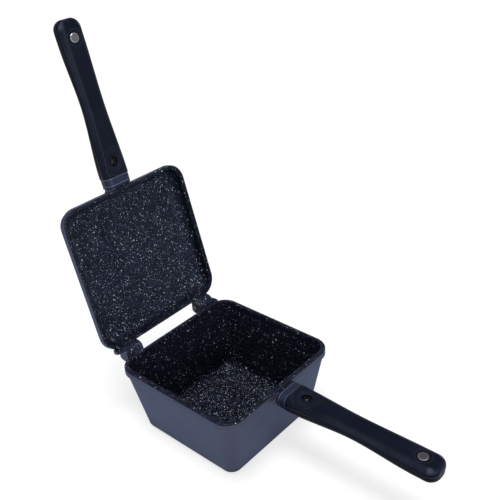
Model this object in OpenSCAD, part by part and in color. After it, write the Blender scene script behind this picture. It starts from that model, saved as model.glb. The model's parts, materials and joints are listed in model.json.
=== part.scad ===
// Double sided flip pan: a deep square pan and a shallow square pan that hinge
// together rim to rim, each with its own screwed-on grip and closing magnet.
// Millimetres, +Z up, +X towards the grips. The origin is the centre of the
// deep pan's flat base. The shallow pan is drawn open, against its stop.

/* [Pans] */
// Rim length of both pans, hinge side to handle side
pan_length = 180; // [150:1:220]
// Rim width of both pans, along the hinge
pan_width = 186; // [160:1:220]
// Height of the deep pan from its base to the rim
deep_height = 96; // [70:1:120]
// Height of the shallow pan from its base to the rim
shallow_height = 23; // [20:1:34]
// Corner radius of the rim seen from above
rim_corner_r = 22; // [16:1:30]
// Wall thickness of both castings
wall = 3.4; // [2.6:0.1:4.5]
// Floor thickness of both castings
floor_thick = 4; // [3:0.1:6]
// Draft of the deep pan's walls, in degrees
deep_draft = 10.2; // [4:0.2:13]

/* [Rim] */
// Height of the upright outer face of the lip
lip_height = 8.5; // [7:0.5:12]
// Height of the sloped underside of the lip
lip_slope = 4.5; // [3:0.5:6]
// How far the lip stands out from the wall below it
lip_overhang = 3; // [2:0.5:4]
// Radius of the lip's outer top edge
lip_round = 1.4; // [0.8:0.1:2]
// Width of the sealing ridge on the deep pan's rim
ridge_width = 1.9; // [1.4:0.1:2.4]
// Height of the sealing ridge
ridge_height = 1; // [0.6:0.1:1.4]
// Gap between the two rims when the pan is shut
rim_gap = 0.4; // [0.3:0.1:0.8]

/* [Hinge] */
// Distance of the hinge axis outside the rim's edge
hinge_out = 8.5; // [7.5:0.5:11]
// How far the pan opens, in degrees
open_angle = 105; // [90:1:106]
// Hinge pin diameter
pin_d = 6.4; // [5:0.2:8]
// Distance from the pan's centre line to the inner end of each hinge pin
pin_tip_y = 46; // [40:1:52]
// Distance from the centre line to the inner face of each bored lug
bore_lug_y = 49.5; // [46:0.5:54]
// Length of each bored lug along the hinge
bore_lug_length = 10; // [8:0.5:13]
// Length of each pin lug along the hinge
pin_lug_length = 15; // [12:0.5:18]
// Length of the stop nub beside each bored lug
nub_length = 6.5; // [4:0.5:9]
// Height of the stop nub above the rim
nub_height = 2.8; // [2:0.2:3]

/* [Grip] */
// Length of the moulded grip
grip_length = 184.5; // [150:0.5:215]
// Width of the grip at its front
grip_front_width = 36; // [32:1:42]
// Width of the grip at its waist
grip_waist_width = 30; // [27:1:34]
// Width of the grip near its end
grip_end_width = 32.5; // [29:1:38]
// Depth of the grip at its front
grip_front_depth = 21.5; // [19:0.5:26]
// Depth of the grip at its waist
grip_waist_depth = 16.5; // [15:0.5:20]
// Depth of the grip near its end
grip_end_depth = 19.5; // [17:0.5:24]
// Depth of the grip's flat top below the rim plane
grip_drop = 1; // [0.6:0.1:3]
// Length of the flame guard between the pan's boss and the grip
guard_length = 12; // [8:0.5:16]
// Length of the cast boss that carries the handle
boss_length = 2; // [1:0.5:6]

/* [Fittings] */
// Distance from the grip's front to the handle screw
screw_setback = 17.5; // [15:0.5:24]
// How far the dish's centre lies beyond the screw
dish_shift = 2; // [0:0.5:3]
// Handle screw thread diameter
screw_d = 5; // [4:0.5:6]
// Handle screw head diameter
screw_head_d = 10.2; // [8:0.2:11]
// Diameter of the round dish moulded about the screw
dish_d = 28; // [22:1:30]
// Depth of that dish
dish_depth = 2; // [1.4:0.1:2.6]
// Closing magnet diameter
magnet_d = 11; // [8:0.5:14]
// Closing magnet thickness
magnet_thick = 5; // [3:0.5:7]
// Distance from the grip's end to the magnet's centre
magnet_setback = 22; // [18:1:34]

/* [Hidden] */
fit = 0.12; // clearance round a fixed insert
running = 0.08; // clearance round the hinge pin
body_gap = 0.3; // least gap between the two pans
over = 1; // overshoot of a cut past a face
skin = 0.01; // thickness of the layers a wall is shaped from
fine = 96; // facets of bores and pins
mid = 48; // facets of the pans' corners

hinge_lift = rim_gap / 2; // axis above each rim plane
half_l = pan_length / 2;
half_w = pan_width / 2;
hinge_x = -(half_l + hinge_out);

lug_r = hinge_out - body_gap;
lug_face = 6.2; // flat outer face of a lug, from the axis
// The lug's sharp corner meets the other pan's lip just past open_angle.
lug_top = (lug_r - lug_face * -cos(open_angle)) / sin(open_angle);
lug_bed = 3; // how deep a lug's root runs into the lip
lug_side_gap = 0.5;
pin_seat_wall = 3; // metal behind the pin's pressed end
mouth = 0.6; // chamfer at each mouth of the bored lug
pin_lug_y = bore_lug_y + bore_lug_length + lug_side_gap;
nub_side_gap = 0.7;
nub_y = pin_lug_y + pin_lug_length + nub_side_gap;
nub_thick = 3.6;

land = 5; // width of the rim's flat top
rebate_play = 0.4;
wall_top = lip_height + lip_slope; // depth at which the plain wall starts

guard_x = half_l + boss_length;
grip_x = guard_x + guard_length;
grip_end_x = grip_x + grip_length;
grip_top = -grip_drop;
screw_x = grip_x + screw_setback;
magnet_x = grip_end_x - magnet_setback;

tang_w = 20;
tang_h = 8;
tang_cover = 7.5; // grip above the tang
tang_top = grip_top - tang_cover;
tang_reach = 26; // how far the tang runs on past the screw
tang_end_x = screw_x + tang_reach;

washer_thick = 1;
head_room = 2.8; // counterbore below the dish
seat_z = grip_top - dish_depth - head_room;
magnet_dish_d = magnet_d + 9;
magnet_dish_depth = 0.8;
magnet_proud = 0.5;
magnet_floor = grip_top - magnet_dish_depth + magnet_proud - magnet_thick;

// ---- Shapes shared by both halves ----

// Rounded rectangle about the centre, `inset` inside the rim's outline.
module rim_outline(inset, corner_r) {
    l = half_l - inset - corner_r;
    w = half_w - inset - corner_r;
    square([2 * l, 2 * (w + corner_r)], center = true);
    square([2 * (l + corner_r), 2 * w], center = true);
    for (x = [-l, l], y = [-w, w])
        translate([x, y])
            circle(corner_r, $fn = mid);
}

// One thin layer of a drafted wall.
module layer(z, inset, corner_r) {
    translate([0, 0, z])
        linear_extrude(skin)
            rim_outline(inset, corner_r);
}

// Convex bowl: straight drafted wall from `top` down to its bottom edge, which
// is an elliptical round `edge_w` wide and `edge_h` high.
module bowl(top, bottom, top_inset, wall_inset, edge_w, edge_h, top_r, base_r) {
    steps = 8;
    tighten = 0.3; // how much the corners close in round the bottom edge
    hull() {
        layer(top, top_inset, top_r);
        for (i = [0 : steps]) {
            a = 90 * i / steps;
            layer(bottom + edge_h * (1 - sin(a)), wall_inset + edge_w * (1 - cos(a)),
                  base_r - edge_w * (1 - cos(a)) * tighten);
        }
    }
}

// Upright lip with a rounded top edge and a sloped underside, rim at z = 0.
module lip() {
    round_steps = 4;
    translate([0, 0, -lip_height])
        linear_extrude(lip_height - lip_round)
            rim_outline(0, rim_corner_r);
    hull()
        for (i = [0 : round_steps]) {
            a = 90 * i / round_steps;
            in = lip_round * (1 - cos(a));
            layer(-skin - lip_round * (1 - sin(a)), in, rim_corner_r - in);
        }
    hull() {
        layer(-lip_height, 0, rim_corner_r);
        layer(-wall_top, lip_overhang, rim_corner_r - lip_overhang);
    }
}

// Side profile of a hinge lug about the hinge axis: round towards the pan,
// flat outside, with the sharp corner that stops the other pan's lip.
module lug_profile() {
    reach = hinge_out + lug_bed;
    difference() {
        union() {
            circle(lug_r, $fn = fine);
            translate([-lug_face, 0])
                square([lug_face, lug_top]);
            translate([0, -lug_r])
                square([reach, lug_r - hinge_lift - 0.2]);
        }
        translate([-lug_face - 2 * lug_r, -2 * lug_r])
            square([2 * lug_r, 4 * lug_r]);
    }
}

module lug(y, length) {
    translate([hinge_x, y + length, hinge_lift])
        rotate([90, 0, 0])
            linear_extrude(length)
                lug_profile();
}

// Small block that keeps the other pan's pin from sliding out when shut.
module nub() {
    root = 6;
    ramp_start = 0.45;
    nub_in = -half_l - (hinge_out - sqrt(pow(lug_r, 2) - pow(nub_height, 2)));
    translate([nub_in - nub_thick, nub_y, 0])
        rotate([90, 0, 90])
            linear_extrude(nub_thick)
                polygon([[0, -root], [0, nub_height], [nub_length * ramp_start, nub_height],
                         [nub_length, 0], [nub_length, -root]]);
    translate([nub_in - nub_thick / 2, nub_y, -root])
        cube([nub_thick / 2 - nub_in - half_l + over, nub_length, root - hinge_lift]);
}

// ---- Handle sections ----

// Eases from 0 to 1 with level ends.
function ease(t) = t * t * (3 - 2 * t);

// Grip value at x that starts at `a`, reaches `b` at the waist and ends at `c`.
waist_at = 0.48;
full_at = 0.86;
function along(x, a, b, c) =
    let (u = (x - grip_x) / grip_length)
    u < waist_at ? a + (b - a) * ease(max(u, 0) / waist_at)
                 : b + (c - b) * ease(min((u - waist_at) / (full_at - waist_at), 1));

// Closed outline in Y and Z: flat top with round shoulders, sides with a
// soft lengthwise crease, rounded belly. Runs round from the top right.
arc_steps = 6;
side_steps = 6;
function half_section(hw, top, bottom, shoulder, belly, crease) =
    let (side_top = top - shoulder, side_low = bottom + belly, tuck = 1.2)
    concat(
        [for (i = [0 : arc_steps])
            let (a = 90 - 90 * i / arc_steps)
            [hw - shoulder + shoulder * cos(a), side_top + shoulder * sin(a)]],
        [for (i = [1 : side_steps - 1])
            let (t = i / side_steps)
            [hw - tuck * t - crease * pow(sin(180 * t), 2),
             side_top + (side_low - side_top) * t]],
        [for (i = [0 : arc_steps])
            let (a = -90 * i / arc_steps)
            [hw - tuck - belly + belly * cos(a), side_low + belly * sin(a)]]
    );

function mirrored(points) =
    [for (i = [len(points) - 1 : -1 : 0]) [-points[i][0], points[i][1]]];

function section(hw, top, bottom, shoulder, belly, crease) =
    let (right = half_section(hw, top, bottom, shoulder, belly, crease))
    concat(right, mirrored(right));

// Solid skin through a row of sections; stations gives each section's x.
module loft(stations, sections) {
    n = len(sections[0]);
    last = len(stations) - 1;
    points = [for (i = [0 : last], p = sections[i]) [stations[i], p[0], p[1]]];
    sides = [for (i = [0 : last - 1], j = [0 : n - 1])
        let (k = (j + 1) % n, a = i * n, b = (i + 1) * n)
        each [[a + j, a + k, b + k], [a + j, b + k, b + j]]];
    front = [for (j = [n - 1 : -1 : 0]) j];
    back = [for (j = [0 : n - 1]) last * n + j];
    polyhedron(points, concat([front], sides, [back]), convexity = 4);
}

shoulder_r = 8.2;
belly_r = 6.5;

// The grip's end is rounded both ways over its last `end_r`.
end_r = 12;
top_fall = 0.42; // how fast the end's top and bottom close in
crease_depth = 0.9;
crease_run = 14;
function end_inset(x) =
    let (t = max(x - (grip_end_x - end_r), 0))
    end_r - sqrt(max(pow(end_r, 2) - pow(t, 2), 0));

function grip_section(x) =
    let (inset = end_inset(x),
         hw = along(x, grip_front_width, grip_waist_width, grip_end_width) / 2 - inset,
         depth = along(x, grip_front_depth, grip_waist_depth, grip_end_depth),
         top = grip_top - inset * top_fall,
         bottom = grip_top - depth + inset * top_fall,
         shoulder = shoulder_r - inset * 0.42,
         belly = belly_r - inset * 0.32,
         crease = crease_depth * (1 - inset / end_r) * ease(min((x - grip_x) / crease_run, 1)))
    section(hw, top, bottom, shoulder, belly, crease);

function front_section(inset) =
    section(grip_front_width / 2 - inset, grip_top - inset,
            grip_top - grip_front_depth + inset, shoulder_r, belly_r, 0);

// Rectangular bar inside the handle, `play` larger than the tang all round.
module tang_bar(from_x, to_x, play) {
    translate([from_x, -tang_w / 2 - play, tang_top - tang_h - play])
        cube([to_x - from_x, tang_w + 2 * play, tang_h + 2 * play]);
}

// ---- Pieces, each drawn with its own pan's rim plane at z = 0 ----

// `wall_inset` and `cavity_inset` say how far inside the rim's outline the
// outer and inner walls stand where their bottom edges start.
module casting(height, wall_inset, edge_w, edge_h, base_r,
               cavity_inset, cavity_edge_w, cavity_edge_h, cavity_r, boss_flare_down) {
    difference() {
        union() {
            lip();
            bowl(-wall_top, -height, lip_overhang, wall_inset, edge_w, edge_h,
                 rim_corner_r - lip_overhang, base_r);
            handle_boss(boss_flare_down);
            lug(-pin_lug_y - pin_lug_length, pin_lug_length);
            lug(bore_lug_y, bore_lug_length);
            nub();
        }
        bowl(over, floor_thick - height, land, cavity_inset, cavity_edge_w, cavity_edge_h,
             rim_corner_r - land, cavity_r);
        // bore for the other pan's pin, with its mouths chamfered
        translate([hinge_x, bore_lug_y - over, hinge_lift])
            rotate([-90, 0, 0])
                cylinder(d = pin_d + 2 * running, h = bore_lug_length + 2 * over, $fn = fine);
        for (side = [0, 1])
            translate([hinge_x, bore_lug_y + side * bore_lug_length, hinge_lift])
                rotate([side == 0 ? -90 : 90, 0, 0])
                    cylinder(d1 = pin_d + 2 * running + 2 * mouth, d2 = pin_d + 2 * running,
                             h = mouth, $fn = fine);
        // blind bore that this pan's own pin is pressed into
        translate([hinge_x, -pin_lug_y - pin_lug_length + pin_seat_wall, hinge_lift])
            rotate([-90, 0, 0])
                cylinder(d = pin_d, h = pin_lug_length, $fn = fine);
        // tapped hole for the handle screw
        translate([screw_x, 0, tang_top - tang_h - over])
            cylinder(d = screw_d + 2 * fit, h = tang_h + 2 * over, $fn = fine);
    }
}

// Cast boss that spreads into the wall, and the tang that runs on into the grip.
module handle_boss(flare_down) {
    root_x = half_l - 24; // inside the wall, which the cavity cuts back
    flare_x = half_l - 6;
    flare_out = 5;
    flare_steps = 7;
    boss_inset = 1.4;
    spreads = [for (i = [0 : flare_steps]) pow(1 - i / flare_steps, 2)];
    stations = concat([root_x],
                      [for (i = [0 : flare_steps]) flare_x + (guard_x - flare_x) * i / flare_steps]);
    loft(stations,
         [for (s = concat([1], spreads))
            section(grip_front_width / 2 - boss_inset + flare_out * s, grip_top - boss_inset,
                    grip_top - grip_front_depth + boss_inset - flare_down * s,
                    shoulder_r, belly_r, 0)]);
    tang_bar(guard_x - over, tang_end_x, 0);
}

module hinge_pin() {
    tip_r = pin_d * 0.22;
    length = pin_lug_y + pin_lug_length - pin_seat_wall - pin_tip_y;
    translate([hinge_x, -pin_lug_y - pin_lug_length + pin_seat_wall, hinge_lift])
        rotate([-90, 0, 0])
            rotate_extrude($fn = fine)
                union() {
                    square([pin_d / 2, length - tip_r]);
                    square([pin_d / 2 - tip_r, length]);
                    translate([pin_d / 2 - tip_r, length - tip_r])
                        circle(tip_r, $fn = mid);
                }
}

module flame_guard() {
    sheet = 1.5;
    step = 0.5; // how far the guard lies inside the grip's outline
    difference() {
        translate([guard_x, 0, 0])
            rotate([90, 0, 90])
                linear_extrude(guard_length)
                    polygon(front_section(step));
        translate([guard_x + sheet, 0, 0])
            rotate([90, 0, 90])
                linear_extrude(guard_length)
                    polygon(front_section(step + sheet));
        tang_bar(guard_x - over, grip_x + over, fit);
    }
}

module grip() {
    count = 30;
    end_count = 7;
    end_sweep = 84;
    straight = grip_length - end_r;
    counterbore_d = screw_head_d + 1.2;
    shank_hole_d = screw_d + 0.6;
    shank_room = 4;
    magnet_flat_d = magnet_d + 4;
    stations = concat(
        [for (i = [0 : count]) grip_x + straight * i / count],
        [for (i = [1 : end_count]) grip_end_x - end_r + end_r * sin(end_sweep * i / end_count)]);
    difference() {
        loft(stations, [for (x = stations) grip_section(x)]);
        tang_bar(grip_x - over, tang_end_x + over, fit);
        screw_dish();
        translate([screw_x, 0, seat_z])
            cylinder(d = counterbore_d, h = grip_top - seat_z + over, $fn = fine);
        translate([screw_x, 0, tang_top - tang_h - shank_room])
            cylinder(d = shank_hole_d, h = tang_h + shank_room + seat_z - tang_top + over, $fn = fine);
        translate([magnet_x, 0, grip_top - magnet_dish_depth])
            cylinder(d1 = magnet_flat_d, d2 = magnet_dish_d, h = magnet_dish_depth + skin, $fn = fine);
        translate([magnet_x, 0, magnet_floor])
            cylinder(d = magnet_d + 2 * fit, h = magnet_thick + over, $fn = fine);
    }
}

// Round dish with stepped rings, sunk about the handle screw.
module screw_dish() {
    rings = 3;
    ring_step = 5;
    ring_slope = 4;
    for (i = [0 : rings - 1])
        translate([screw_x + dish_shift, 0, grip_top - dish_depth * (i + 1) / rings])
            cylinder(d1 = dish_d - ring_slope - i * ring_step, d2 = dish_d - i * ring_step,
                     h = dish_depth + over, $fn = fine);
}

// Button head screw with a hexagon socket.
module handle_screw() {
    head_h = 2.9;
    head_z = seat_z + washer_thick;
    rim_h = 0.5;
    dome_h = head_h - rim_h;
    dome_r = (pow(screw_head_d / 2, 2) + pow(dome_h, 2)) / (2 * dome_h);
    socket_across = 4.6;
    socket_depth = 1.9;
    shank_low = tang_top - tang_h - 2; // the screw's end shows below the tang
    difference() {
        union() {
            translate([screw_x, 0, head_z])
                cylinder(d = screw_head_d, h = rim_h, $fn = fine);
            intersection() {
                translate([screw_x, 0, head_z + head_h - dome_r])
                    sphere(dome_r, $fn = fine);
                translate([screw_x, 0, head_z + rim_h])
                    cylinder(d = screw_head_d, h = dome_h + over, $fn = fine);
            }
            translate([screw_x, 0, shank_low])
                cylinder(d = screw_d, h = head_z + rim_h - shank_low, $fn = fine);
        }
        translate([screw_x, 0, head_z + head_h - socket_depth])
            cylinder(d = socket_across, h = socket_depth + over, $fn = 6);
    }
}

// Split spring washer under the screw's head.
module lock_washer() {
    split = 0.8;
    hole_play = 0.4;
    edge_play = 0.6;
    translate([screw_x, 0, seat_z])
        difference() {
            cylinder(d = screw_head_d - edge_play, h = washer_thick, $fn = fine);
            translate([0, 0, -over])
                cylinder(d = screw_d + hole_play, h = washer_thick + 2 * over, $fn = fine);
            translate([0, -split / 2, -over])
                cube([screw_head_d, split, washer_thick + 2 * over]);
        }
}

module magnet() {
    edge = 0.4;
    translate([magnet_x, 0, magnet_floor]) {
        cylinder(d = magnet_d, h = magnet_thick - edge, $fn = fine);
        translate([0, 0, magnet_thick - edge])
            cylinder(d1 = magnet_d, d2 = magnet_d - 2 * edge, h = edge, $fn = fine);
    }
}

// ---- Placing the two halves ----

module on_deep() {
    translate([0, 0, deep_height])
        children();
}

// Shut, the shallow half is the same way round turned over about X; it then
// swings up and back about the hinge.
module on_shallow() {
    translate([hinge_x, 0, deep_height + hinge_lift])
        rotate([0, -open_angle, 0])
            translate([-hinge_x, 0, -deep_height - hinge_lift])
                translate([0, 0, deep_height + rim_gap])
                    rotate([180, 0, 0])
                        children();
}

module deep_casting() {
    edge_w = 11;
    edge_h = 9;
    base_r = 13;
    cavity_edge_w = 13;
    cavity_edge_h = 12;
    cavity_r = 12;
    boss_flare_down = 4;
    slope = tan(deep_draft);
    wall_inset = lip_overhang + slope * (deep_height - wall_top - edge_h);
    cavity_depth = deep_height - floor_thick - cavity_edge_h;
    cavity_inset = lip_overhang + wall + slope * (cavity_depth - wall_top);
    casting(deep_height, wall_inset, edge_w, edge_h, base_r,
            cavity_inset, cavity_edge_w, cavity_edge_h, cavity_r, boss_flare_down);
    difference() {
        translate([0, 0, -over])
            linear_extrude(over + ridge_height)
                rim_outline(land - ridge_width, rim_corner_r - land + ridge_width);
        translate([0, 0, -2 * over])
            linear_extrude(3 * over + ridge_height)
                rim_outline(land, rim_corner_r - land);
    }
}

module shallow_casting() {
    wall_fall = 0.5; // short drafted wall above the wide bottom edge
    edge_w = 21;
    base_r = 17;
    cavity_fall = 1;
    cavity_wall = 5;
    cavity_edge_w = 18;
    cavity_r = 16;
    rebate = ridge_width + rebate_play;
    difference() {
        casting(shallow_height, lip_overhang + wall_fall, edge_w,
                shallow_height - wall_top - wall_fall, base_r,
                land + cavity_fall, cavity_edge_w, shallow_height - floor_thick - cavity_wall,
                cavity_r, 0);
        translate([0, 0, -ridge_height - rebate_play])
            linear_extrude(ridge_height + rebate_play + over)
                rim_outline(land - rebate, rim_corner_r - land + rebate);
    }
}

module deep_pan() {
    color("slategray")
        on_deep()
            deep_casting();
}

module deep_hinge_pin() {
    color("gray")
        on_deep()
            hinge_pin();
}

module deep_flame_guard() {
    color("lightslategray")
        on_deep()
            flame_guard();
}

module deep_grip() {
    color("midnightblue")
        on_deep()
            grip();
}

module deep_handle_screw() {
    color("black")
        on_deep()
            handle_screw();
}

module deep_lock_washer() {
    color("silver")
        on_deep()
            lock_washer();
}

module deep_magnet() {
    color("silver")
        on_deep()
            magnet();
}

module shallow_pan() {
    color("steelblue")
        on_shallow()
            shallow_casting();
}

module shallow_hinge_pin() {
    color("gray")
        on_shallow()
            hinge_pin();
}

module shallow_flame_guard() {
    color("lightslategray")
        on_shallow()
            flame_guard();
}

module shallow_grip() {
    color("navy")
        on_shallow()
            grip();
}

module shallow_handle_screw() {
    color("black")
        on_shallow()
            handle_screw();
}

module shallow_lock_washer() {
    color("silver")
        on_shallow()
            lock_washer();
}

module shallow_magnet() {
    color("silver")
        on_shallow()
            magnet();
}

deep_pan();
deep_hinge_pin();
deep_flame_guard();
deep_grip();
deep_handle_screw();
deep_lock_washer();
deep_magnet();
shallow_pan();
shallow_hinge_pin();
shallow_flame_guard();
shallow_grip();
shallow_handle_screw();
shallow_lock_washer();
shallow_magnet();
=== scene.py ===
"""Looks for the double sided flip pan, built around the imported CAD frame.

Metres, in the CAD's own frame: +X from the hinge to the deep pan's grip, +Z up.
Each half also has an own frame, whose rim plane is z = 0 and whose pan lies
below it. Places on a half are given in that frame, so both halves share them.
"""

import json
import math

import bmesh
import bpy
from mathutils import Matrix, Vector

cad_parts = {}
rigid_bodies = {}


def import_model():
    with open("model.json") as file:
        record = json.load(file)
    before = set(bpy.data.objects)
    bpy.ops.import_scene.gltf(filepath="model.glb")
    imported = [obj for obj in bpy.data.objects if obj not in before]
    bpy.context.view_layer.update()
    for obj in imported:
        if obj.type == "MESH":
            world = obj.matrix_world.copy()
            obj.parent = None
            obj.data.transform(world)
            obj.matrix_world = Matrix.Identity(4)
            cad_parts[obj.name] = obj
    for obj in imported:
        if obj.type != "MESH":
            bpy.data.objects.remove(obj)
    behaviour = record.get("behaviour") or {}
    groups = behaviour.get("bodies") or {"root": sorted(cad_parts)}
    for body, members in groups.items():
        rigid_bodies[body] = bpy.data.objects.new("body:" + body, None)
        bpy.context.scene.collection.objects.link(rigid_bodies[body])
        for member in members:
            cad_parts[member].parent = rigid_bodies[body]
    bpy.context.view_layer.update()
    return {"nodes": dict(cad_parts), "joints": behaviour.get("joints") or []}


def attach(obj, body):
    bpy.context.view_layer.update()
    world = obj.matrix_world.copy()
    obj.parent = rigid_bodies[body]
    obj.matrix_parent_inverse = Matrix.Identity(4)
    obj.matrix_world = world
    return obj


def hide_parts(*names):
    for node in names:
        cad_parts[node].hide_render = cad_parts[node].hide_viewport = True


# ---- Sizes, in metres, most of them shared with the CAD ----
HINGE_LIFT = 0.0002  # hinge axis above each rim plane
HALF_LENGTH = 0.090  # rim's centre to its edge, along X
LUG_FACE_X = -0.0905  # the lugs lie beyond this
GRIP_TOP = -0.0010
BOSS_JOINT_X = 0.0945  # where the photograph shows the boss end and the guard start
GUARD_END_X = 0.104
SCREW_X = 0.1215
DISH_X = SCREW_X + 0.002  # centre of the stepped dish about the screw
WIDE_RING_X = SCREW_X + 0.0005  # centre of the wide ring about that dish
MAGNET_X = 0.2665
MAGNET_EDGE_R = 0.0052
# The rings moulded in the grip's top, as each one's centre along X and its radius:
# four about the screw and one about the magnet.
GRIP_RINGS = ((DISH_X, 0.0074), (DISH_X, 0.0099), (DISH_X, 0.0124),
              (WIDE_RING_X, 0.0169), (MAGNET_X, 0.0096))
RINGS_LOWEST = -0.0034  # the painted ring highlights show down to here, and not on the shoulders
GRIP_CORNER = (0.2815, 0.0130, 0.0030)  # the end's corners, where a highlight is painted, signs left off
HIGHLIGHT_START_X, HIGHLIGHT_FULL_X = 0.130, 0.195  # where along the grip the painted shoulder highlight sets in
DEEP_START_Z, DEEP_FULL_Z = -0.060, -0.085  # where the deep pan's floor begins
MERGE_DISTANCE = 2e-6  # vertices nearer than this become one

# ---- The photograph's view ----
CAMERA_AZIMUTH = 42.6
CAMERA_ELEVATION = 30.0
CAMERA_ROLL = 3.5
CAMERA_PLACE = Vector((0.5257, -0.5170, 0.6635))
CAMERA_LENS = 55.6
SENSOR_WIDTH = 36.0

# ---- Colours, linear ----
CASTING_BLUE = (0.074, 0.076, 0.112)
CASTING_BLUE_DEEP = (0.065, 0.067, 0.101)
CASTING_SCUFF = (0.100, 0.105, 0.143)
# Painted shade: the coating's darker tone on steep walls and the rim.
COATING_WALL_SHADE = (0.0040, 0.0047, 0.0092)
COATING_DEEP = (0.0030, 0.0038, 0.0085)
COATING_DARK = (0.0046, 0.0061, 0.0128)
COATING_SOFT = (0.0088, 0.0113, 0.0222)
# Painted highlight along the rim's outer edge.
COATING_RIM_HIGHLIGHT = (0.040, 0.048, 0.080)
SPECK_WHITE = (0.72, 0.77, 0.88)
SPECK_GREY = (0.17, 0.20, 0.29)
SPECK_FAINT = (0.050, 0.062, 0.100)
GUARD_BLUE = (0.026, 0.033, 0.065)
GUARD_BLUE_DEEP = (0.021, 0.027, 0.054)
# Painted shade for the guard's sides.
GUARD_SIDE_SHADE = (0.011, 0.015, 0.034)
# Painted highlight for the guard's joint edges.
GUARD_EDGE_HIGHLIGHT = (0.15, 0.17, 0.25)
# Painted shadow of the rim on the boss.
BOSS_SHADOW_BLUE = (0.013, 0.017, 0.036)
GRIP_BLACK = (0.0054, 0.0070, 0.0148)
GRIP_SOFT = (0.0072, 0.0092, 0.0182)
# Painted shade for the grip's sides.
GRIP_CREASE_SHADE = (0.0012, 0.0018, 0.0062)
# Painted reflection of the floor on the grip's underside.
GRIP_UNDER_REFLECTION = (0.0064, 0.0082, 0.0230)
GRIP_WORN = (0.0100, 0.0132, 0.0240)
# Painted highlight on the grip's shoulders.
GRIP_SHOULDER_HIGHLIGHT = (0.0150, 0.0180, 0.0300)
# Painted highlight on the grip end's corners.
GRIP_CORNER_HIGHLIGHT = (0.040, 0.045, 0.068)
# Painted highlight on the rings in the grip's top.
GRIP_RING_HIGHLIGHT = (0.016, 0.020, 0.033)
SCREW_BLACK = (0.0030, 0.0030, 0.0040)
SCREW_SOFT = (0.006, 0.006, 0.008)
SPRING_DULL = (0.30, 0.30, 0.32)
SPRING_BRUSHED = (0.42, 0.42, 0.44)
MAGNET_DULL = (0.14, 0.135, 0.165)
MAGNET_BRUSHED = (0.23, 0.225, 0.255)
# Painted highlight for the magnet's edge.
MAGNET_EDGE_HIGHLIGHT = (0.56, 0.56, 0.60)

# ---- Shine: specular levels and tints, and shares of metal flake ----
COATING_SHINE = 0.10
COATING_TINT = (0.55, 0.70, 1.0, 1.0)
GRIP_SHINE = 0.07
GRIP_TINT = (0.75, 0.85, 1.0, 1.0)
SCREW_SHINE = 0.20
PAINT_METAL = 0.65
GUARD_METAL = 0.30

# ---- Fine texture, in metres ----
EDGE_WIDTH = 0.0004  # half the width of a painted highlight line on an edge or ring
CASTING_SPRAY = 0.0007  # size of the grain of sprayed paint
METAL_SPRAY = 0.0006
FINE_BUMP = 0.00003  # height of that grain, and of the screws' blacking
COATING_BUMP = 0.00006  # how proud the coating and its specks stand
GRIP_TEXTURE = 0.00055
GRIP_BUMP = 0.00004
BRUSHED_BUMP = 0.00001
# Specks, as the cell that holds one and its least and greatest radius.
LARGE_SPECKS = (0.0046, 0.00036, 0.00086)
MEDIUM_SPECKS = (0.0020, 0.00024, 0.00056)
SMALL_SPECKS = (0.0012, 0.00020, 0.00042)
PIN_SPECKS = (0.0032, 0.0003, 0.0007)
# Share of the cells that hold a speck, on steep walls and the rim and on faces
# that look up, and for the larger ones on the deep pan's floor.
LARGE_SHARES = (0.50, 0.60, 0.95)
MEDIUM_SHARES = (0.34, 0.92, 1.0)
SMALL_SHARES = (0.45, 0.98)
PIN_SHARE = 0.35  # the same all over a pin
DEEP_LIFT = 0.35  # how much paler the specks are on the deep pan's floor


def clear_scene():
    """Removes Blender's default objects."""
    for item in list(bpy.data.objects):
        bpy.data.objects.remove(item)


# ---------------------------------------------------------------- materials


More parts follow.
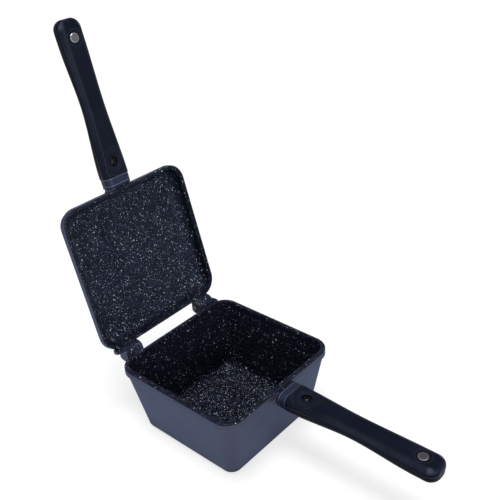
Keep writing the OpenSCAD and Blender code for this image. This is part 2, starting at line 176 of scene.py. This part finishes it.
class Graph:
    """The node tree of a material or world, with short calls for its nodes."""

    def __init__(self, owner):
        self.owner = owner
        owner.use_nodes = True
        self.tree = owner.node_tree
        self.tree.nodes.clear()

    def node(self, kind, **settings):
        made = self.tree.nodes.new(kind)
        for key, value in settings.items():
            setattr(made, key, value)
        return made

    def feed(self, socket, value):
        """Links a socket to another, or sets it to a number, vector or colour."""
        if isinstance(value, bpy.types.NodeSocket):
            self.tree.links.new(value, socket)
        elif socket.type == "RGBA" and len(value) == 3:
            socket.default_value = (*value, 1.0)
        else:
            socket.default_value = value

    def own_frame(self, half_frame):
        """Place and facing of the surface in its half's own frame."""
        here = self.node("ShaderNodeTexCoord")
        location, rotation, _ = half_frame.inverted().decompose()
        turned = []
        for source, kind in (("Object", "POINT"), ("Normal", "VECTOR")):
            mapping = self.node("ShaderNodeMapping", vector_type=kind)
            self.feed(mapping.inputs["Vector"], here.outputs[source])
            mapping.inputs["Rotation"].default_value = rotation.to_euler()
            if kind == "POINT":
                mapping.inputs["Location"].default_value = location
            turned.append(mapping.outputs[0])
        return turned

    def math(self, operation, a, b=None, c=None, clamp=False):
        made = self.node("ShaderNodeMath", operation=operation, use_clamp=clamp)
        for socket, value in zip(made.inputs, (a, b, c)):
            if value is not None:
                self.feed(socket, value)
        return made.outputs[0]

    def rest(self, share):
        """What is left of 1 when share is taken off."""
        return self.math("SUBTRACT", 1.0, share)

    def vector(self, operation, a, b):
        made = self.node("ShaderNodeVectorMath", operation=operation)
        self.feed(made.inputs[0], a)
        self.feed(made.inputs[1], b)
        return made.outputs["Value" if operation in ("DOT_PRODUCT", "DISTANCE") else "Vector"]

    def split(self, vector):
        made = self.node("ShaderNodeSeparateXYZ")
        self.feed(made.inputs[0], vector)
        return made.outputs

    # The Mix node has sockets of its own for each kind of data, all under the
    # same names, so mix and blend take them by number.

    def mix(self, factor, a, b):
        """Colour that goes from a to b as factor goes from 0 to 1."""
        made = self.node("ShaderNodeMix", data_type="RGBA")
        self.feed(made.inputs["Factor"], factor)
        self.feed(made.inputs[6], a)
        self.feed(made.inputs[7], b)
        return made.outputs[2]

    def blend(self, factor, a, b):
        """Number that goes from a to b as factor goes from 0 to 1."""
        made = self.node("ShaderNodeMix", data_type="FLOAT")
        self.feed(made.inputs["Factor"], factor)
        self.feed(made.inputs[2], a)
        self.feed(made.inputs[3], b)
        return made.outputs[0]

    def pick(self, chosen, a, b):
        """Shader b where chosen is 1, and a elsewhere."""
        made = self.node("ShaderNodeMixShader")
        for socket, value in zip(made.inputs, (chosen, a, b)):
            self.feed(socket, value)
        return made.outputs[0]

    def noise(self, place, size, detail, rough=0.5):
        """Noise from 0 to 1 whose features are about `size` metres."""
        made = self.node("ShaderNodeTexNoise")
        self.feed(made.inputs["Vector"], place)
        made.inputs["Scale"].default_value = 1.0 / size
        made.inputs["Detail"].default_value = detail
        made.inputs["Roughness"].default_value = rough
        return made.outputs

    def band(self, value, start, full):
        """0 up to start, 1 from full on, smooth between. It rises downwards where
        start is the greater of the two."""
        made = self.node("ShaderNodeMapRange", interpolation_type="SMOOTHSTEP")
        self.feed(made.inputs["Value"], value)
        made.inputs["From Min"].default_value = start
        made.inputs["From Max"].default_value = full
        return made.outputs[0]

    def line(self, distance, half_width):
        """1 where distance is near 0, fading out about half_width from there."""
        off = self.math("ABSOLUTE", distance)
        return self.rest(self.band(off, 0.6 * half_width, 1.4 * half_width))

    def bump(self, height, distance, strength, normal=None):
        made = self.node("ShaderNodeBump")
        self.feed(made.inputs["Height"], height)
        made.inputs["Distance"].default_value = distance
        made.inputs["Strength"].default_value = strength
        if normal is not None:
            self.feed(made.inputs["Normal"], normal)
        return made.outputs[0]

    def surface(self, color, roughness, normal, metal=None, **fixed):
        """Ends the graph in a Principled shader; fixed sets its plain sockets."""
        shader = self.node("ShaderNodeBsdfPrincipled")
        self.feed(shader.inputs["Base Color"], color)
        self.feed(shader.inputs["Roughness"], roughness)
        self.feed(shader.inputs["Normal"], normal)
        if metal is not None:
            self.feed(shader.inputs["Metallic"], metal)
        for key, value in fixed.items():
            shader.inputs[key.replace("_", " ")].default_value = value
        out = self.node("ShaderNodeOutputMaterial")
        self.feed(out.inputs["Surface"], shader.outputs[0])
        return self.owner


def material_graph(name):
    return Graph(bpy.data.materials.new(name))


def specks(graph, place, sizes, share):
    """Mask of irregular specks: one in each cell, and `share` of them kept."""
    cell, least, greatest = sizes
    cells = graph.node("ShaderNodeTexVoronoi", voronoi_dimensions="3D", feature="F1")
    graph.feed(cells.inputs["Vector"], place)
    cells.inputs["Scale"].default_value = 1.0 / cell
    chance = graph.node("ShaderNodeSeparateColor")
    graph.feed(chance.inputs[0], cells.outputs["Color"])
    spread = graph.math("POWER", chance.outputs[0], 2.0)
    radius = graph.blend(spread, least / cell, greatest / cell)
    kept = graph.math("LESS_THAN", chance.outputs[1], share)
    edge = graph.math("SUBTRACT", radius, cells.outputs["Distance"])
    mask = graph.math("MULTIPLY", edge, 4.0 * cell / least, clamp=True)
    return graph.math("MULTIPLY", mask, kept)


def coated_area(graph, place, facing):
    """1 where the cooking coating lies: inside, over the rim, a ragged way down
    the lip and on the lugs, but not on the lugs' end faces."""
    above_middle = (0.0, 0.0, 0.010)  # every inner face looks towards this point
    tooth, tooth_depth = 0.0022, 0.0030  # of the ragged edge on the lip
    past_lip = HALF_LENGTH + 0.0004  # the boss starts here
    x, _, z = graph.split(place)
    across = graph.math("ABSOLUTE", graph.split(facing)[1])
    to_middle = graph.vector("SUBTRACT", above_middle, place)
    inside = graph.band(graph.vector("DOT_PRODUCT", facing, to_middle), -0.001, 0.001)
    ragged = graph.noise(place, tooth, 4.0, 0.65)["Fac"]
    edge_depth = graph.math("MULTIPLY_ADD", ragged, tooth_depth, z)
    on_lip = graph.band(edge_depth, -0.0003, 0.0001)
    before_boss = graph.math("LESS_THAN", x, past_lip)
    lug_end = graph.math("MULTIPLY", graph.math("GREATER_THAN", across, 0.9),
                         graph.math("LESS_THAN", x, LUG_FACE_X))
    outside = graph.math("MULTIPLY", graph.math("MULTIPLY", on_lip, before_boss),
                         graph.rest(lug_end))
    return graph.math("MAXIMUM", inside, outside)


def upward_cover(graph, place, facing):
    """1 on faces that look up, on floors and lugs, and 0 on steep walls and
    the rim; and the part of that which is the deep pan's floor."""
    x, _, z = graph.split(place)
    off_rim = graph.math("MAXIMUM", graph.band(z, -0.0008, -0.0040),
                         graph.math("LESS_THAN", x, LUG_FACE_X))
    upward = graph.math("MULTIPLY", graph.band(graph.split(facing)[2], 0.35, 0.85), off_rim)
    deep_down = graph.math("MULTIPLY", upward, graph.band(z, DEEP_START_Z, DEEP_FULL_Z))
    return upward, deep_down


def coating_specks(graph, place, upward, deep_down):
    """Masks of the coating's small faint specks and of its bright ones."""
    wobble_size, wobble_reach = 0.0011, 0.0007
    wobble = graph.noise(place, wobble_size, 2.0)["Color"]
    shift = graph.vector("MULTIPLY", wobble, (wobble_reach, wobble_reach, wobble_reach))
    warped = graph.vector("ADD", place, shift)
    small = specks(graph, warped, SMALL_SPECKS, graph.blend(upward, *SMALL_SHARES))
    bright = []
    for sizes, shares in ((LARGE_SPECKS, LARGE_SHARES), (MEDIUM_SPECKS, MEDIUM_SHARES)):
        wall_share, upward_share, deep_share = shares
        share = graph.blend(deep_down, graph.blend(upward, wall_share, upward_share), deep_share)
        bright.append(specks(graph, warped, sizes, share))
    return small, graph.math("MAXIMUM", *bright)


def coating(graph, place, facing):
    """Colour of the speckled coating, its clouds, and the mask of its specks."""
    z = graph.split(place)[2]
    upward, deep_down = upward_cover(graph, place, facing)
    small, bright = coating_specks(graph, place, upward, deep_down)
    clouds = graph.noise(place, 0.020, 3.0)["Fac"]
    color = graph.mix(graph.band(clouds, 0.3, 0.7), COATING_DARK, COATING_SOFT)
    # Painted shade: steep walls and the rim take a darker colour, and faces that look up keep
    # the paler clouded tone.
    color = graph.mix(upward, COATING_WALL_SHADE, color)
    color = graph.mix(deep_down, color, COATING_DEEP)
    # Painted highlight: a patchy paler band along the rim's outer rounded edge.
    rub = graph.noise(place, 0.006, 4.0, 0.7)["Fac"]
    rim_highlight = graph.math("MULTIPLY", graph.band(z, -0.0016, -0.0004),
                           graph.blend(graph.band(rub, 0.40, 0.65), 0.08, 0.42))
    color = graph.mix(rim_highlight, color, COATING_RIM_HIGHLIGHT)
    tint = graph.noise(place, 0.0032, 2.0)["Fac"]
    lift = graph.math("MULTIPLY", deep_down, DEEP_LIFT)
    faint_tone = graph.math("ADD", tint, lift, clamp=True)
    white_tone = graph.math("ADD", graph.band(tint, 0.36, 0.62), lift, clamp=True)
    color = graph.mix(small, color, graph.mix(faint_tone, SPECK_FAINT, SPECK_GREY))
    color = graph.mix(bright, color, graph.mix(white_tone, SPECK_GREY, SPECK_WHITE))
    return color, clouds, bright


def make_casting(name, half_frame):
    """Speckled dark coating inside, satin blue-grey metallic paint outside."""
    graph = material_graph(name)
    place, facing = graph.own_frame(half_frame)
    coat = coated_area(graph, place, facing)
    coat_color, clouds, bright = coating(graph, place, facing)

    drift = graph.noise(place, 0.045, 3.0)["Fac"]
    plain_color = graph.mix(graph.band(drift, 0.25, 0.75), CASTING_BLUE, CASTING_BLUE_DEEP)
    flattened = graph.vector("MULTIPLY", place, (1.0, 1.0, 5.0))
    scuffs = graph.noise(flattened, 0.0012, 4.0, 0.7)["Fac"]
    scuff_mask = graph.math("MULTIPLY", graph.band(scuffs, 0.66, 0.80), 0.30)
    plain_color = graph.mix(scuff_mask, plain_color, CASTING_SCUFF)

    color = graph.mix(coat, plain_color, coat_color)
    metal = graph.blend(coat, PAINT_METAL, 0.0)
    spray = graph.noise(place, CASTING_SPRAY, 3.0)["Fac"]
    paint_rough = graph.blend(spray, 0.40, 0.50)
    coating_rough = graph.blend(clouds, 0.30, 0.40)
    roughness = graph.blend(coat, paint_rough, coating_rough)
    grain = graph.bump(spray, FINE_BUMP, 0.6)
    relief = graph.math("MULTIPLY", coat, graph.math("MULTIPLY_ADD", bright, 0.4, 0.6))
    normal = graph.bump(relief, COATING_BUMP, 1.0, grain)
    return graph.surface(color, roughness, normal, metal,
                         Specular_IOR_Level=COATING_SHINE, Specular_Tint=COATING_TINT)


def make_pin_steel(name, half_frame):
    """Pins carry the casting's dark coating with a few specks."""
    graph = material_graph(name)
    place = graph.own_frame(half_frame)[0]
    drift = graph.noise(place, 0.004, 3.0)["Fac"]
    color = graph.mix(drift, CASTING_BLUE_DEEP, COATING_SOFT)
    few = specks(graph, place, PIN_SPECKS, PIN_SHARE)
    color = graph.mix(few, color, SPECK_WHITE)
    roughness = graph.blend(drift, 0.32, 0.42)
    spray = graph.noise(place, METAL_SPRAY, 3.0)["Fac"]
    return graph.surface(color, roughness, graph.bump(spray, FINE_BUMP, 0.6))


def make_guard_metal(name, half_frame):
    """The flame guard's satin blue-grey, with darker sides as painted shade and painted
    highlights at both its joints. The piece's first stretch, up to the groove, is darker still,
    as the painted shadow of the rim."""
    graph = material_graph(name)
    place, facing = graph.own_frame(half_frame)
    x = graph.split(place)[0]
    drift = graph.noise(place, 0.012, 3.0)["Fac"]
    color = graph.mix(drift, GUARD_BLUE_DEEP, GUARD_BLUE)
    # Painted shade: the guard's sides, facing away from the top, are darker.
    color = graph.mix(graph.band(graph.split(facing)[2], 0.10, 0.60), GUARD_SIDE_SHADE, color)
    # Painted shadow of the rim: the stretch before the groove is darker.
    color = graph.mix(graph.math("LESS_THAN", x, BOSS_JOINT_X), color, BOSS_SHADOW_BLUE)
    # Painted highlights: thin pale lines at both joints.
    for joint_x in (BOSS_JOINT_X + EDGE_WIDTH, GUARD_END_X - EDGE_WIDTH):
        edge = graph.line(graph.math("SUBTRACT", x, joint_x), EDGE_WIDTH)
        color = graph.mix(edge, color, GUARD_EDGE_HIGHLIGHT)
    spray = graph.noise(place, METAL_SPRAY, 3.0)["Fac"]
    roughness = graph.blend(spray, 0.34, 0.44)
    return graph.surface(color, roughness, graph.bump(spray, FINE_BUMP, 0.6),
                         Metallic=GUARD_METAL, Specular_IOR_Level=COATING_SHINE)


def ring_line(graph, place, centre_x, radius):
    """Mask of a thin upright ring about a point on the handle's middle line."""
    level = graph.vector("MULTIPLY", place, (1.0, 1.0, 0.0))
    from_centre = graph.vector("DISTANCE", level, (centre_x, 0.0, 0.0))
    return graph.line(graph.math("SUBTRACT", from_centre, radius), EDGE_WIDTH)


def ring_highlights(graph, place):
    """Mask of the painted highlights on the edges of the rings in the grip's top."""
    edges = 0.0
    for centre_x, radius in GRIP_RINGS:
        edges = graph.math("MAXIMUM", ring_line(graph, place, centre_x, radius), edges)
    on_top = graph.math("GREATER_THAN", graph.split(place)[2], RINGS_LOWEST)
    return graph.math("MULTIPLY", edges, on_top)


def make_grip_plastic(name, half_frame):
    """Soft satin black moulding with a fine texture and faint handling marks, and
    painted light and shade: darker sides as painted shade, a paler underside as a
    painted reflection, a painted highlight on its shoulders, more so towards the
    end, and most on the end's corners, and painted highlights on its rings."""
    graph = material_graph(name)
    place, facing = graph.own_frame(half_frame)
    up = graph.split(facing)[2]
    drift = graph.noise(place, 0.030, 3.0)["Fac"]
    color = graph.mix(graph.band(drift, 0.3, 0.7), GRIP_BLACK, GRIP_SOFT)
    # Painted shade: the sides, round the crease, are darker than the top.
    color = graph.mix(graph.band(up, 0.02, 0.42), GRIP_CREASE_SHADE, color)
    # Painted reflection of the floor: faces that look down are a paler blue.
    color = graph.mix(graph.band(up, -0.30, -0.02), GRIP_UNDER_REFLECTION, color)

    drawn_out = graph.vector("MULTIPLY", place, (0.25, 1.0, 1.0))
    marks = graph.noise(drawn_out, 0.0016, 4.0, 0.7)["Fac"]
    worn = graph.math("MULTIPLY", graph.band(marks, 0.60, 0.78), 0.30)
    color = graph.mix(worn, color, GRIP_WORN)

    # Painted highlight on the shoulders, growing towards the end.
    shoulder = graph.math("MULTIPLY", graph.band(up, 0.30, 0.62),
                          graph.rest(graph.band(up, 0.78, 0.98)))
    highlight_along = graph.math("MULTIPLY", graph.band(graph.split(place)[0], HIGHLIGHT_START_X, HIGHLIGHT_FULL_X),
                        graph.blend(graph.band(drift, 0.3, 0.6), 0.35, 1.0))
    color = graph.mix(graph.math("MULTIPLY", shoulder, highlight_along), color, GRIP_SHOULDER_HIGHLIGHT)

    # Painted highlight on the end's corners.
    reach, core = 0.0060, 0.0005  # of the painted corner highlight, from the corner
    unsigned = graph.vector("ABSOLUTE", place, (0.0, 0.0, 0.0))
    from_corner = graph.vector("DISTANCE", unsigned, GRIP_CORNER)
    corner_highlight = graph.math("MULTIPLY", graph.band(from_corner, reach, core),
                        graph.band(up, 0.25, 0.60))
    color = graph.mix(corner_highlight, color, GRIP_CORNER_HIGHLIGHT)
    # Painted highlights on the rings' edges.
    color = graph.mix(ring_highlights(graph, place), color, GRIP_RING_HIGHLIGHT)

    roughness = graph.blend(drift, 0.30, 0.42)
    texture = graph.noise(place, GRIP_TEXTURE, 3.0, 0.6)["Fac"]
    return graph.surface(color, roughness, graph.bump(texture, GRIP_BUMP, 0.7),
                         Specular_IOR_Level=GRIP_SHINE, Specular_Tint=GRIP_TINT)


def make_black_screw(name, half_frame):
    """Blackened steel, slightly cloudy."""
    graph = material_graph(name)
    place = graph.own_frame(half_frame)[0]
    drift = graph.noise(place, 0.0025, 3.0)["Fac"]
    color = graph.mix(drift, SCREW_BLACK, SCREW_SOFT)
    roughness = graph.blend(drift, 0.26, 0.36)
    return graph.surface(color, roughness, graph.bump(drift, FINE_BUMP, 0.4),
                         Specular_IOR_Level=SCREW_SHINE)


def brushed_streaks(graph, place, size):
    """Noise drawn out into streaks of the given size on each axis."""
    return graph.noise(graph.vector("DIVIDE", place, size), 1.0, 3.0)["Fac"]


def make_spring_steel(name, half_frame):
    """Plain drawn steel."""
    graph = material_graph(name)
    place = graph.own_frame(half_frame)[0]
    streaks = brushed_streaks(graph, place, (0.0006, 0.0006, 0.004))
    color = graph.mix(streaks, SPRING_DULL, SPRING_BRUSHED)
    roughness = graph.blend(streaks, 0.30, 0.42)
    return graph.surface(color, roughness, graph.bump(streaks, BRUSHED_BUMP, 0.5), Metallic=1.0)


def make_magnet_metal(name, half_frame):
    """Dull brushed plating, with a painted highlight round its edge."""
    graph = material_graph(name)
    place = graph.own_frame(half_frame)[0]
    streaks = brushed_streaks(graph, place, (0.006, 0.0004, 0.006))
    color = graph.mix(streaks, MAGNET_DULL, MAGNET_BRUSHED)
    # Painted highlight: a pale ring on the magnet's edge.
    color = graph.mix(ring_line(graph, place, MAGNET_X, MAGNET_EDGE_R), color, MAGNET_EDGE_HIGHLIGHT)
    roughness = graph.blend(streaks, 0.34, 0.46)
    return graph.surface(color, roughness, graph.bump(streaks, BRUSHED_BUMP, 0.5), Metallic=1.0)


# ------------------------------------------------------------------- pieces


def own_frames(joint):
    """Each half's own frame at rest, as matrices into the row frame."""
    hinge = Vector(joint["pos_m"])
    rim = hinge.z - HINGE_LIFT
    deep = Matrix.Translation((0.0, 0.0, rim))
    opened = math.radians(joint["range_deg"][1])
    face_down = Matrix.Rotation(math.pi, 4, "X")
    shut = Matrix.Translation((0.0, 0.0, rim + 2 * HINGE_LIFT)) @ face_down
    turn = Matrix.Rotation(-opened, 4, "Y")
    swing = Matrix.Translation(hinge) @ turn @ Matrix.Translation(-hinge)
    return {"deep": deep, "shallow": swing @ shut}


def ring_cutter():
    """Low cone that cuts the wide ring: its wall leans out by the ring's slope."""
    depth = 0.00045  # of the ring, below the grip's top
    inner_r = 0.0163  # at the bottom of its slope
    outer_r = 0.0175  # at the top of its slope
    above = 0.0010  # how far the cone runs on above the grip
    height = depth + above
    slope = (outer_r - inner_r) / depth
    shape = bmesh.new()
    bmesh.ops.create_cone(shape, cap_ends=True, segments=96, radius1=inner_r,
                          radius2=inner_r + slope * height, depth=height)
    middle = Vector((WIDE_RING_X, 0.0, GRIP_TOP - depth + height / 2))
    bmesh.ops.translate(shape, verts=shape.verts, vec=middle)
    mesh = bpy.data.meshes.new("ring_cutter")
    shape.to_mesh(mesh)
    shape.free()
    return bpy.data.objects.new("ring_cutter", mesh)


def shallow_ring(mesh):
    """Cuts the wide, shallow outer ring of the dish about the handle screw."""
    cutter = ring_cutter()
    holder = bpy.data.objects.new("ring_holder", mesh)
    for item in (cutter, holder):
        bpy.context.scene.collection.objects.link(item)
    cut = holder.modifiers.new("cut", "BOOLEAN")
    cut.operation = "DIFFERENCE"
    cut.solver = "EXACT"
    cut.object = cutter
    settled = bpy.context.evaluated_depsgraph_get()
    result = bpy.data.meshes.new_from_object(holder.evaluated_get(settled))
    for item in (cutter, holder):
        bpy.data.objects.remove(item)
    return result


def boss_groove(mesh):
    """Sinks a fine groove round the guard where the boss meets it: three loops
    are cut, and the middle one's outer points move in."""
    half_width, depth = 0.0003, 0.0003
    shape = bmesh.new()
    shape.from_mesh(mesh)
    bmesh.ops.remove_doubles(shape, verts=shape.verts, dist=MERGE_DISTANCE)
    for x in (BOSS_JOINT_X - half_width, BOSS_JOINT_X, BOSS_JOINT_X + half_width):
        bmesh.ops.bisect_plane(shape, geom=[*shape.verts, *shape.edges, *shape.faces],
                               plane_co=(x, 0.0, 0.0), plane_no=(1.0, 0.0, 0.0))
    heights = [vert.co.z for vert in shape.verts]
    axis_z = (min(heights) + max(heights)) / 2
    shape.normal_update()
    for vert in shape.verts:
        on_middle_loop = abs(vert.co.x - BOSS_JOINT_X) < half_width / 10
        outward = Vector((0.0, vert.co.y, vert.co.z - axis_z))
        if on_middle_loop and vert.normal.dot(outward) > 0.0:
            vert.co -= depth * vert.normal
    shape.to_mesh(mesh)
    shape.free()
    return mesh


def round_hard_edges(shape, wanted, width, smooth_angle):
    """Rounds the hard edges of a mesh whose ends both pass the test `wanted`."""
    limit = math.radians(smooth_angle)
    edges = [edge for edge in shape.edges
             if len(edge.link_faces) == 2 and edge.calc_face_angle() > limit
             and all(wanted(end.co) for end in edge.verts)]
    bmesh.ops.bevel(shape, geom=edges, offset=width, segments=2, profile=0.5,
                    affect="EDGES", clamp_overlap=True)


def refined(node, half_frame, smooth_angle, rounding, carve):
    """A smooth copy of a CAD node: flat facets are joined up, curved ones shaded
    as one surface, and hard edges rounded. It is shaped in its half's own frame."""
    flat_angle = 0.4  # degrees between two facets that count as one flat face
    mesh = frame["nodes"][node].data.copy()
    mesh.transform(half_frame.inverted())
    if carve:
        mesh = carve(mesh)
    shape = bmesh.new()
    shape.from_mesh(mesh)
    bmesh.ops.remove_doubles(shape, verts=shape.verts, dist=MERGE_DISTANCE)
    bmesh.ops.dissolve_limit(shape, angle_limit=math.radians(flat_angle),
                             verts=shape.verts, edges=shape.edges)
    bmesh.ops.recalc_face_normals(shape, faces=shape.faces)
    if rounding:
        width, wanted = rounding
        round_hard_edges(shape, wanted, width, smooth_angle)
    for face in shape.faces:
        face.smooth = True
    shape.to_mesh(mesh)
    shape.free()
    if mesh.has_custom_normals:
        mesh.attributes.remove(mesh.attributes["custom_normal"])
    mesh.materials.clear()
    mesh.transform(half_frame)
    mesh.set_sharp_from_angle(angle=math.radians(smooth_angle))
    piece = bpy.data.objects.new(node + "_finish", mesh)
    bpy.context.scene.collection.objects.link(piece)
    shading = piece.modifiers.new("flat_faces_stay_flat", "WEIGHTED_NORMAL")
    shading.keep_sharp = True
    return piece


def on_lug(point):
    lug_root = 0.0008  # left sharp, so that the rounding stops short of the rim
    return point.x < LUG_FACE_X - lug_root


def by_the_grip(point):
    guard_lip = 0.003  # the stretch whose edges are rounded
    return point.x > GUARD_END_X - guard_lip


def anywhere(point):
    return True


# How each CAD node is finished: part, slot, material, smooth angle in degrees, the
# rounding of its hard edges as its width and where it goes, and what is carved in.
FINISHES = (
    ("pan", "coated_casting", make_casting, 40.0, (0.0005, on_lug), None),
    ("hinge_pin", "coated_steel", make_pin_steel, 32.0, None, None),
    ("flame_guard", "guard_metal", make_guard_metal, 32.0, (0.0003, by_the_grip), boss_groove),
    ("grip", "grip_plastic", make_grip_plastic, 32.0, None, shallow_ring),
    ("handle_screw", "black_screw", make_black_screw, 32.0, (0.0002, anywhere), None),
    ("lock_washer", "spring_steel", make_spring_steel, 32.0, None, None),
    ("magnet", "magnet_metal", make_magnet_metal, 20.0, None, None),
)


def build_pieces():
    """Gives every CAD node its material and replaces it by its finished copy."""
    for half, half_frame in own_frames(frame["joints"][0]).items():
        for part, slot, make_material, smooth_angle, rounding, carve in FINISHES:
            node = f"{half}_{part}"
            material = make_material(f"{half}_{slot}", half_frame)
            cad = frame["nodes"][node]
            cad.data.materials.clear()
            cad.data.materials.append(material)
            piece = refined(node, half_frame, smooth_angle, rounding, carve)
            piece.data.materials.append(material)
            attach(piece, half)
            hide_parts(node)


# -------------------------------------------------------------------- stage

FLOOR_SIZE = 12.0
FLOOR_TONES = (0.78, 0.78, 0.79), (0.80, 0.80, 0.80)
# What the camera, and what reflections, see of the floor: the share of its
# shading that shows, and the even white added to that.
FLOOR_TO_CAMERA = (0.34, 0.34, 0.345), 0.72
FLOOR_IN_MIRRORS = (0.48, 0.48, 0.48), 0.42
WORLD_LIGHT = 0.22
WORLD_COLOR = (0.93, 0.96, 1.0, 1.0)
BACKDROP_TOP = (0.10, 0.34)  # height of view, as a sine, over which it fades
BACKDROP_TO_CAMERA = (1.0, 1.0, 1.0)
BACKDROP_IN_MIRRORS = (0.8, 0.8, 0.8)


def direct_view(graph):
    """1 for what the camera sees straight, and 1 for what it sees in a
    reflection or through glass."""
    seen = graph.node("ShaderNodeLightPath")
    mirrored = graph.math("MAXIMUM", seen.outputs["Is Glossy Ray"],
                          seen.outputs["Is Transmission Ray"])
    return seen.outputs["Is Camera Ray"], mirrored


def make_floor_material():
    """Pale floor that reads as white to the camera and in reflections, but
    keeps the object's soft shadow and lights the object as a plain floor."""
    graph = material_graph("floor")
    place = graph.node("ShaderNodeTexCoord").outputs["Object"]
    drift = graph.noise(place, 0.4, 2.0)["Fac"]
    plain = graph.node("ShaderNodeBsdfDiffuse")
    graph.feed(plain.inputs["Color"], graph.mix(drift, *FLOOR_TONES))
    shown = plain.outputs[0]
    for chosen, (shade, lift) in zip(direct_view(graph), (FLOOR_TO_CAMERA, FLOOR_IN_MIRRORS)):
        shaded = graph.node("ShaderNodeBsdfDiffuse")
        graph.feed(shaded.inputs["Color"], shade)
        glow = graph.node("ShaderNodeEmission")
        glow.inputs["Strength"].default_value = lift
        lifted = graph.node("ShaderNodeAddShader")
        graph.feed(lifted.inputs[0], shaded.outputs[0])
        graph.feed(lifted.inputs[1], glow.outputs[0])
        shown = graph.pick(chosen, shown, lifted.outputs[0])
    out = graph.node("ShaderNodeOutputMaterial")
    graph.feed(out.inputs["Surface"], shown)
    return graph.owner


def build_floor():
    half = FLOOR_SIZE / 2
    corners = [(-half, -half, 0), (half, -half, 0), (half, half, 0), (-half, half, 0)]
    mesh = bpy.data.meshes.new("floor")
    mesh.from_pydata(corners, [], [(0, 1, 2, 3)])
    mesh.materials.append(make_floor_material())
    floor = bpy.data.objects.new("floor", mesh)
    bpy.context.scene.collection.objects.link(floor)


def build_world():
    """Even studio light from all round. The backdrop is white where the camera
    sees it; reflections see its lower part, below the dim ceiling."""
    world = bpy.data.worlds.new("studio")
    bpy.context.scene.world = world
    graph = Graph(world)
    light = graph.node("ShaderNodeBackground")
    light.inputs["Color"].default_value = WORLD_COLOR
    light.inputs["Strength"].default_value = WORLD_LIGHT
    height = graph.split(graph.node("ShaderNodeTexCoord").outputs["Generated"])[2]
    ceiling = graph.band(height, *BACKDROP_TOP)
    camera, mirrored = direct_view(graph)
    low = graph.math("MULTIPLY", mirrored, graph.rest(ceiling))
    shown = light.outputs[0]
    for chosen, color in ((low, BACKDROP_IN_MIRRORS), (camera, BACKDROP_TO_CAMERA)):
        backdrop = graph.node("ShaderNodeBackground")
        graph.feed(backdrop.inputs["Color"], color)
        shown = graph.pick(chosen, shown, backdrop.outputs[0])
    out = graph.node("ShaderNodeOutputWorld")
    graph.feed(out.inputs["Surface"], shown)


# Lamps as (name, direction of the light, strength, angle in degrees).
LAMPS = (
    ("top", (-0.04, 0.14, -1.00), 2.30, 24.0),
    ("front", (0.10, 0.95, -0.28), 0.42, 30.0),
    ("side", (-0.95, 0.15, -0.28), 1.30, 30.0),
)


def build_lights():
    for name, direction, strength, angle in LAMPS:
        data = bpy.data.lights.new(name, "SUN")
        data.energy = strength
        data.angle = math.radians(angle)
        lamp = bpy.data.objects.new(name, data)
        bpy.context.scene.collection.objects.link(lamp)
        lamp.rotation_euler = Vector(direction).to_track_quat("-Z", "Y").to_euler()


def build_camera():
    """Camera at the angle fitted to the photograph's deep half, further back."""
    data = bpy.data.cameras.new("camera")
    data.lens = CAMERA_LENS
    data.sensor_width = SENSOR_WIDTH
    camera = bpy.data.objects.new("camera", data)
    bpy.context.scene.collection.objects.link(camera)
    azimuth, elevation = math.radians(CAMERA_AZIMUTH), math.radians(CAMERA_ELEVATION)
    outward = Vector((math.cos(elevation) * math.sin(azimuth),
                      -math.cos(elevation) * math.cos(azimuth), math.sin(elevation)))
    turn = (-outward).to_track_quat("-Z", "Y").to_matrix().to_4x4()
    roll = Matrix.Rotation(math.radians(-CAMERA_ROLL), 4, "Z")
    camera.matrix_world = Matrix.Translation(CAMERA_PLACE) @ turn @ roll
    bpy.context.scene.camera = camera


clear_scene()
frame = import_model()
bpy.context.scene.view_settings.view_transform = "Standard"

build_camera()
build_world()
build_lights()
build_floor()
build_pieces()
